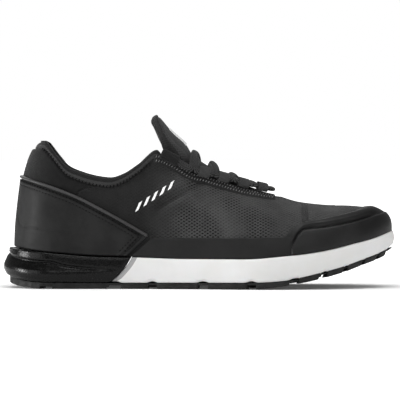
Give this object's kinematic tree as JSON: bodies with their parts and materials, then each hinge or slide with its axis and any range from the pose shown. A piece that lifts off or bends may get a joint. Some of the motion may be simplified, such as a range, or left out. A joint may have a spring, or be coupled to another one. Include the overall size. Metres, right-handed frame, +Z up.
{
  "type": "golf shoe",
  "caption": "Low right golf shoe with a mesh vamp, smooth overlays, padded collar, looped lacing, gloss heel cradle, white midsole and lugged rubber outsole.",
  "frame": {"origin": "middle of the footprint's bounding box, on the ground the lugs stand on", "axes": "+X towards the toe, +Z up, -Y the outer (lateral) side, +Y the inner (medial) side"},
  "size_m": [0.3012, 0.1084, 0.1311],
  "materials": {
    "mesh": "matt engineered mesh",
    "lining": "matt brushed textile",
    "lace": "matt woven",
    "overlay": "smooth satin polyurethane leather",
    "gloss": "gloss moulded",
    "white_foam": "satin foam skin",
    "foam": "open foam",
    "outsole_rubber": "matt rubber",
    "board": "pressed fibre board",
    "stiffener": "matt moulded sheet",
    "label": "light woven tape"
  },
  "bodies": {
    "root": {"collar_foam": "foam", "collar_lining": "lining", "eyestay_lateral": "overlay", "eyestay_medial": "overlay", "heel_counter": "stiffener", "heel_cradle": "gloss", "heel_foam_core": "foam", "heel_panel": "overlay", "heel_piping": "overlay", "heel_quarter": "mesh", "insole_cover": "lining", "insole_foam": "foam", "lace": "lace", "lace_loop_lateral_1": "lace", "lace_loop_lateral_2": "lace", "lace_loop_lateral_3": "lace", "lace_loop_lateral_4": "lace", "lace_loop_lateral_5": "lace", "lace_loop_medial_1": "lace", "lace_loop_medial_2": "lace", "lace_loop_medial_3": "lace", "lace_loop_medial_4": "lace", "lace_loop_medial_5": "lace", "midsole": "white_foam", "mudguard": "overlay", "outsole_forefoot": "outsole_rubber", "outsole_heel": "outsole_rubber", "shank": "stiffener", "strobel_board": "board", "toe_cap": "overlay", "toe_puff": "stiffener", "tongue_base_cover": "mesh", "tongue_base_foam": "foam", "vamp_lining": "lining", "vamp_mesh": "mesh"},
    "tongue_top": {"tongue_top_cover": "mesh", "tongue_top_foam": "foam", "tongue_label": "label"}
  },
  "joints": [
    {"name": "tongue_fold", "type": "hinge", "parent": "root", "child": "tongue_top", "pos_m": [-0.009, 0.00074, 0.105], "axis": [0, 1, 0], "range_deg": [-8, 45], "stiffness_Nm_per_rad": 0.05}
  ]
}
